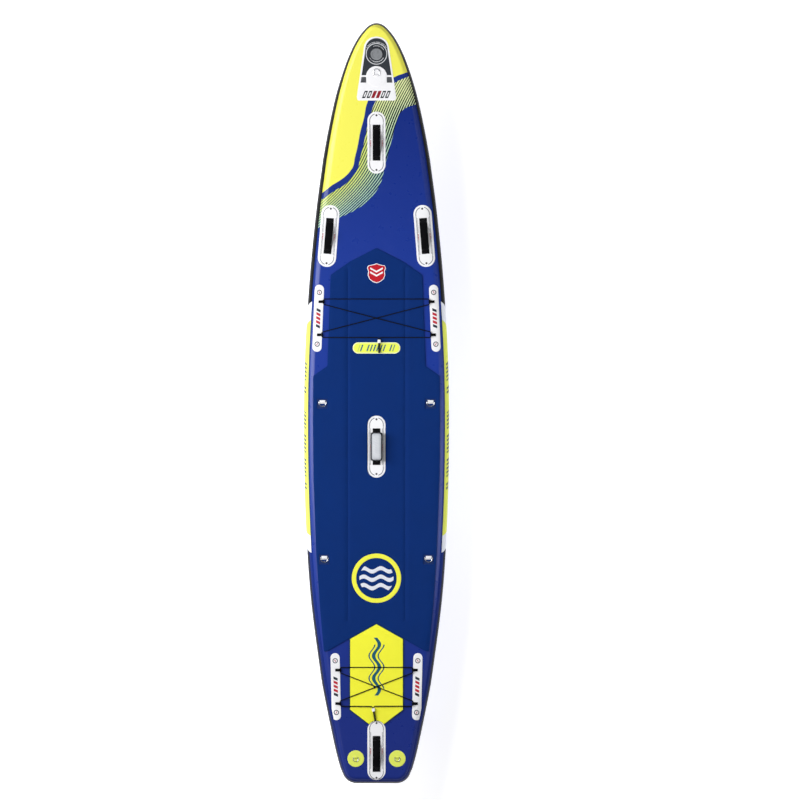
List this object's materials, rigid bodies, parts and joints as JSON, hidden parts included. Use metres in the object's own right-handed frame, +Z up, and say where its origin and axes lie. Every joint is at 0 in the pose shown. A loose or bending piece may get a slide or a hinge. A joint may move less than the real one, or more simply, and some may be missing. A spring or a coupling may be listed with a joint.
{
  "type": "stand up paddleboard",
  "caption": "Long inflatable touring stand up paddleboard with foam deck pads, carry handles, bungee lacing, D-rings, inflation valve and a removable fin.",
  "frame": {"origin": "middle of the flat stretch of the hull's bottom, on the centreline at half length", "axes": "+Y to the nose, +X to starboard, +Z up from the deck"},
  "size_m": [0.7622, 3.991, 0.5782],
  "materials": {
    "hull_print": "gloss printed PVC",
    "hull_bottom": "gloss PVC",
    "rail": "printed PVC band",
    "seam_tape": "satin tape",
    "yarn": "polyester yarn",
    "navy_foam": "embossed EVA foam",
    "yellow_foam": "embossed EVA foam",
    "white_foam": "EVA foam",
    "badge": "printed PVC badge",
    "white_pvc": "satin PVC patch",
    "navy_pvc": "satin PVC patch",
    "yellow_pvc": "satin PVC patch",
    "webbing": "woven nylon webbing",
    "neoprene": "neoprene",
    "grip_foam": "moulded grip",
    "cord": "braided elastic cord",
    "stainless": "polished stainless",
    "grey_nylon": "moulded nylon",
    "pale_nylon": "moulded nylon",
    "white_nylon": "moulded nylon",
    "black_rubber": "moulded rubber",
    "black_nylon": "moulded nylon",
    "brass": "machined brass"
  },
  "bodies": {
    "board": {"deck_skin": "hull_print", "bottom_skin": "hull_bottom", "rail_band": "rail", "seam_tapes": "seam_tape", "drop_stitch_yarns": "yarn", "main_deck_pad": "navy_foam", "tail_deck_pad": "yellow_foam", "emblem_ring": "yellow_foam", "emblem_waves": "white_foam", "name_pill": "yellow_foam", "shield_badge": "badge", "nose_patch": "white_pvc", "nose_ring_patch": "white_pvc", "nose_handle_patch": "white_pvc", "shoulder_handle_patches": "white_pvc", "centre_handle_patch": "white_pvc", "tail_handle_patch": "white_pvc", "nose_handle_strap": "webbing", "shoulder_handle_straps": "webbing", "centre_handle_strap": "webbing", "tail_handle_strap": "webbing", "centre_grip_wrap": "neoprene", "centre_grip_pad": "grip_foam", "front_bungee_strips": "white_pvc", "rear_bungee_strips": "white_pvc", "front_bungee_loops": "webbing", "rear_bungee_loops": "webbing", "front_bungee_cord": "cord", "rear_bungee_cord": "cord", "deck_ring_patches": "navy_pvc", "deck_ring_tabs": "white_pvc", "tail_ring_patches": "yellow_pvc", "tail_ring_tabs": "yellow_pvc", "nose_ring_tab": "white_pvc", "valve_body": "grey_nylon", "valve_nut": "grey_nylon", "fin_box": "black_nylon", "fin_box_patch": "hull_bottom", "valve_spring": "stainless"},
    "nose_d_ring": {"nose_d_ring": "stainless"},
    "deck_d_ring_front_port": {"deck_d_ring_front_port": "stainless"},
    "deck_d_ring_front_starboard": {"deck_d_ring_front_starboard": "stainless"},
    "deck_d_ring_rear_port": {"deck_d_ring_rear_port": "stainless"},
    "deck_d_ring_rear_starboard": {"deck_d_ring_rear_starboard": "stainless"},
    "tail_d_ring_port": {"tail_d_ring_port": "stainless"},
    "tail_d_ring_starboard": {"tail_d_ring_starboard": "stainless"},
    "valve_cap_gasket": {"valve_cap_gasket": "black_rubber"},
    "valve_cap": {"valve_cap": "grey_nylon"},
    "valve_diaphragm": {"valve_diaphragm": "black_rubber"},
    "valve_stem": {"valve_stem": "pale_nylon"},
    "front_lock": {"front_lock_barrel": "white_nylon", "front_lock_spring": "stainless"},
    "front_lock_button": {"front_lock_button": "white_nylon"},
    "rear_lock": {"rear_lock_barrel": "white_nylon", "rear_lock_spring": "stainless"},
    "rear_lock_button": {"rear_lock_button": "white_nylon"},
    "fin": {"fin": "black_nylon", "fin_cross_pin": "brass", "fin_plate_nut": "stainless"},
    "fin_screw": {"fin_screw": "brass"}
  },
  "joints": [
    {"name": "nose_d_ring_swing", "type": "hinge", "parent": "board", "child": "nose_d_ring", "pos_m": [0, 1.7207, 0.27888], "axis": [1, 0, 0], "range_deg": [0, 168]},
    {"name": "deck_d_ring_front_port_swing", "type": "hinge", "parent": "board", "child": "deck_d_ring_front_port", "pos_m": [-0.284, 0.006, 0.15455], "axis": [-1, 0, 0], "range_deg": [0, 160]},
    {"name": "deck_d_ring_front_starboard_swing", "type": "hinge", "parent": "board", "child": "deck_d_ring_front_starboard", "pos_m": [0.284, 0.006, 0.15455], "axis": [-1, 0, 0], "range_deg": [0, 160]},
    {"name": "deck_d_ring_rear_port_swing", "type": "hinge", "parent": "board", "child": "deck_d_ring_rear_port", "pos_m": [-0.274, -0.812, 0.15455], "axis": [-1, 0, 0], "range_deg": [0, 160]},
    {"name": "deck_d_ring_rear_starboard_swing", "type": "hinge", "parent": "board", "child": "deck_d_ring_rear_starboard", "pos_m": [0.274, -0.812, 0.15455], "axis": [-1, 0, 0], "range_deg": [0, 160]},
    {"name": "tail_d_ring_port_swing", "type": "hinge", "parent": "board", "child": "tail_d_ring_port", "pos_m": [-0.109, -1.8607, 0.17403], "axis": [-1, 0, 0], "range_deg": [0, 168]},
    {"name": "tail_d_ring_starboard_swing", "type": "hinge", "parent": "board", "child": "tail_d_ring_starboard", "pos_m": [0.109, -1.8607, 0.17403], "axis": [-1, 0, 0], "range_deg": [0, 168]},
    {"name": "valve_cap_lift", "type": "slide", "parent": "board", "child": "valve_cap_gasket", "axis": [0, -0.2371, 0.9715], "range_m": [0, 0.0015]},
    {"name": "valve_cap_turn", "type": "hinge", "parent": "valve_cap_gasket", "child": "valve_cap", "pos_m": [0, 1.833, 0.29865], "axis": [0, -0.2371, 0.9715], "range_deg": [0, 90]},
    {"name": "valve_plunger_press", "type": "slide", "parent": "board", "child": "valve_diaphragm", "axis": [0, 0.2371, -0.9715], "range_m": [0, 0.005], "stiffness_N_per_m": 900, "springref_m": -0.002, "deforming": ["valve_spring"]},
    {"name": "valve_stem_twist", "type": "hinge", "parent": "valve_diaphragm", "child": "valve_stem", "pos_m": [0, 1.833, 0.29865], "axis": [0, -0.2371, 0.9715], "range_deg": [0, 90]},
    {"name": "front_lock_slide", "type": "slide", "parent": "board", "child": "front_lock", "axis": [0, -1, 0], "range_m": [0, 0.02]},
    {"name": "front_lock_press", "type": "slide", "parent": "front_lock", "child": "front_lock_button", "axis": [0, 0, -1], "range_m": [0, 0.0015], "stiffness_N_per_m": 2000, "springref_m": -0.003, "deforming": ["front_lock_spring"]},
    {"name": "rear_lock_slide", "type": "slide", "parent": "board", "child": "rear_lock", "axis": [0.1736, -0.9843, 0.0306], "range_m": [0, 0.02]},
    {"name": "rear_lock_press", "type": "slide", "parent": "rear_lock", "child": "rear_lock_button", "axis": [0, -0.031, -0.9995], "range_m": [0, 0.0015], "stiffness_N_per_m": 2000, "springref_m": -0.003, "deforming": ["rear_lock_spring"]},
    {"name": "fin_slide", "type": "slide", "parent": "board", "child": "fin", "axis": [0, 0.9995, -0.031], "range_m": [-0.03, 0.018]},
    {"name": "fin_screw_turn", "type": "hinge", "parent": "fin", "child": "fin_screw", "pos_m": [0, -1.45405, 0.0023], "axis": [0, 0.031, 0.9995], "range_deg": [0, 180]}
  ],
  "couplings": [
    {"joint": "valve_cap_turn", "follows": "valve_cap_lift", "rad_per_m": 1047.2}
  ]
}
